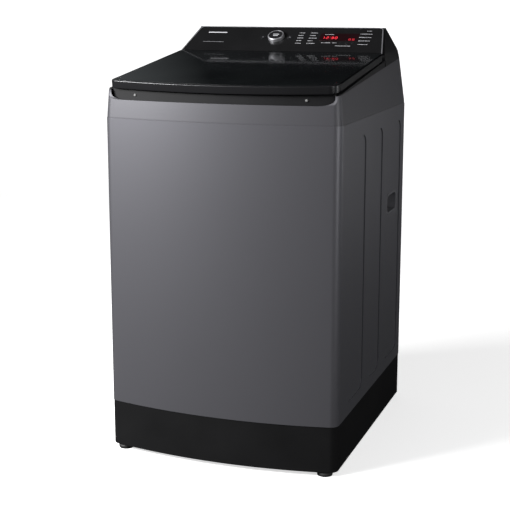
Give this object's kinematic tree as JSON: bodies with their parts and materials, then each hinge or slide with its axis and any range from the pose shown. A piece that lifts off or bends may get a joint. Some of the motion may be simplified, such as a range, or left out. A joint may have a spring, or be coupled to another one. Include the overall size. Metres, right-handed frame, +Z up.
{
  "type": "top load washing machine",
  "caption": "Top load washing machine with a bowed steel cabinet, black base, hinged tinted glass lid and a sloping rear control panel; tub hangs on sprung rods.",
  "frame": {"origin": "on the floor, under the middle of the body's overall box", "axes": "+Z up, the front faces -Y, +X to the right of someone facing along +Y"},
  "size_m": [0.61, 0.684, 1.0745],
  "materials": {
    "body_paint": "satin metallic grey",
    "cover_paint": "satin metallic grey",
    "zinc_sheet": "zinc-coated sheet",
    "base_black": "fine-grained black",
    "inner_plastic": "plain moulded",
    "deck_black": "gloss black",
    "panel_gloss": "high gloss black with printed symbols",
    "trim_silver": "bright silver",
    "display_lens": "dark tinted lens with red segments behind",
    "board": "coated circuit board",
    "white_plastic": "plain moulded",
    "bumper_rubber": "soft rubber",
    "bright_steel": "bright",
    "pocket_plastic": "grey moulded",
    "lid_glass": "dark tinted toughened glass",
    "grip_paint": "dark satin grey",
    "dial_black": "gloss black",
    "drawer_plastic": "pale translucent grey",
    "tub_plastic": "plain moulded",
    "cast_housing": "as cast",
    "copper_winding": "enamelled copper on a plastic core",
    "drum_steel": "brushed stainless",
    "ring_plastic": "grey moulded, brine filled",
    "filter_plastic": "grey moulded with mesh",
    "pulsator_plastic": "grey moulded",
    "foot_rubber": "black rubber"
  },
  "bodies": {
    "cabinet": {"cabinet_wrap": "body_paint", "rear_panel": "zinc_sheet", "base_skirt": "base_black", "bottom_guard": "inner_plastic", "corner_gussets": "zinc_sheet", "top_cover": "cover_paint", "top_frame": "deck_black", "console_housing": "deck_black", "control_panel": "panel_gloss", "console_trim": "trim_silver", "display_window": "display_lens", "control_board": "board", "lid_lock_housing": "white_plastic", "lid_bumpers": "bumper_rubber", "drawer_housing": "inner_plastic", "inlet_valves": "white_plastic", "pressure_sensor": "white_plastic", "cord_gland": "base_black", "pump_housing": "inner_plastic", "drain_pipe": "base_black", "suspension_rods": "bright_steel", "suspension_springs": "bright_steel", "case_screws": "zinc_sheet", "handle_pockets": "pocket_plastic"},
    "lid": {"lid_frame": "deck_black", "lid_glass": "lid_glass", "lid_grip": "grip_paint", "hinge_pins": "bright_steel", "lid_striker": "white_plastic"},
    "lock": {"lock_bolt": "inner_plastic"},
    "dial": {"program_dial": "dial_black", "dial_ring": "trim_silver"},
    "power": {"power_key": "dial_black"},
    "start": {"start_key": "dial_black"},
    "option_1": {"option_key_1": "dial_black"},
    "option_2": {"option_key_2": "dial_black"},
    "option_3": {"option_key_3": "dial_black"},
    "drawer": {"detergent_drawer": "drawer_plastic"},
    "tub": {"outer_tub": "tub_plastic", "tub_cover": "tub_plastic", "spring_cups": "white_plastic", "drive_housing": "cast_housing", "bearings": "bright_steel", "shaft_seal": "bumper_rubber", "stator": "copper_winding"},
    "drum": {"basket": "drum_steel", "balance_ring": "ring_plastic", "basket_hub": "cast_housing", "spin_tube": "bright_steel"},
    "clutch": {"clutch_coupler": "inner_plastic"},
    "filter": {"lint_filter": "filter_plastic"},
    "wash_drive": {"pulsator": "pulsator_plastic", "pulsator_screw": "bright_steel", "wash_shaft": "bright_steel", "rotor": "inner_plastic"},
    "pump_rotor": {"pump_impeller": "white_plastic"},
    "foot_fl": {"foot_front_left": "foot_rubber"},
    "foot_fr": {"foot_front_right": "foot_rubber"},
    "foot_rl": {"foot_rear_left": "foot_rubber"},
    "foot_rr": {"foot_rear_right": "foot_rubber"}
  },
  "joints": [
    {"name": "lid_hinge", "type": "hinge", "parent": "cabinet", "child": "lid", "pos_m": [0, 0.123, 0.9948], "axis": [-1, 0, 0], "range_deg": [0, 100]},
    {"name": "lock_slide", "type": "slide", "parent": "cabinet", "child": "lock", "axis": [-1, 0, 0], "range_m": [0, 0.009]},
    {"name": "dial_turn", "type": "hinge", "parent": "cabinet", "child": "dial", "pos_m": [-0.027, 0.19503, 1.04688], "axis": [0, -0.5284, 0.849], "continuous": true},
    {"name": "power_press", "type": "slide", "parent": "cabinet", "child": "power", "axis": [0, 0.5284, -0.849], "range_m": [0, 0.0008], "stiffness_N_per_m": 900, "springref_m": -0.0006},
    {"name": "start_press", "type": "slide", "parent": "cabinet", "child": "start", "axis": [0, 0.5284, -0.849], "range_m": [0, 0.0008], "stiffness_N_per_m": 900, "springref_m": -0.0006},
    {"name": "option_1_press", "type": "slide", "parent": "cabinet", "child": "option_1", "axis": [0, 0.5284, -0.849], "range_m": [0, 0.0008], "stiffness_N_per_m": 900, "springref_m": -0.0006},
    {"name": "option_2_press", "type": "slide", "parent": "cabinet", "child": "option_2", "axis": [0, 0.5284, -0.849], "range_m": [0, 0.0008], "stiffness_N_per_m": 900, "springref_m": -0.0006},
    {"name": "option_3_press", "type": "slide", "parent": "cabinet", "child": "option_3", "axis": [0, 0.5284, -0.849], "range_m": [0, 0.0008], "stiffness_N_per_m": 900, "springref_m": -0.0006},
    {"name": "drawer_slide", "type": "slide", "parent": "cabinet", "child": "drawer", "axis": [0, -1, 0], "range_m": [0, 0.1]},
    {"name": "tub_bounce", "type": "slide", "parent": "cabinet", "child": "tub", "axis": [0, 0, 1], "range_m": [-0.03, 0.012], "stiffness_N_per_m": 14000, "springref_m": 0.02107, "deforming": ["suspension_springs"]},
    {"name": "drum_spin", "type": "hinge", "parent": "tub", "child": "drum", "pos_m": [0, -0.04, 0.3], "axis": [0, 0, 1], "continuous": true},
    {"name": "wash_spin", "type": "hinge", "parent": "drum", "child": "wash_drive", "pos_m": [0, -0.04, 0.2], "axis": [0, 0, 1], "continuous": true},
    {"name": "clutch_shift", "type": "slide", "parent": "drum", "child": "clutch", "axis": [0, 0, -1], "range_m": [0, 0.006]},
    {"name": "filter_pull", "type": "slide", "parent": "drum", "child": "filter", "axis": [-1, 0, 0], "range_m": [0, 0.04]},
    {"name": "pump_spin", "type": "hinge", "parent": "cabinet", "child": "pump_rotor", "pos_m": [-0.19, 0.247, 0.07], "axis": [0, 0, 1], "continuous": true},
    {"name": "foot_fl_turn", "type": "hinge", "parent": "cabinet", "child": "foot_fl", "pos_m": [-0.271, -0.292, 0], "axis": [0, 0, 1], "continuous": true},
    {"name": "foot_fr_turn", "type": "hinge", "parent": "cabinet", "child": "foot_fr", "pos_m": [0.271, -0.292, 0], "axis": [0, 0, 1], "continuous": true},
    {"name": "foot_rl_turn", "type": "hinge", "parent": "cabinet", "child": "foot_rl", "pos_m": [-0.271, 0.3, 0], "axis": [0, 0, 1], "continuous": true},
    {"name": "foot_rr_turn", "type": "hinge", "parent": "cabinet", "child": "foot_rr", "pos_m": [0.271, 0.3, 0], "axis": [0, 0, 1], "continuous": true}
  ]
}
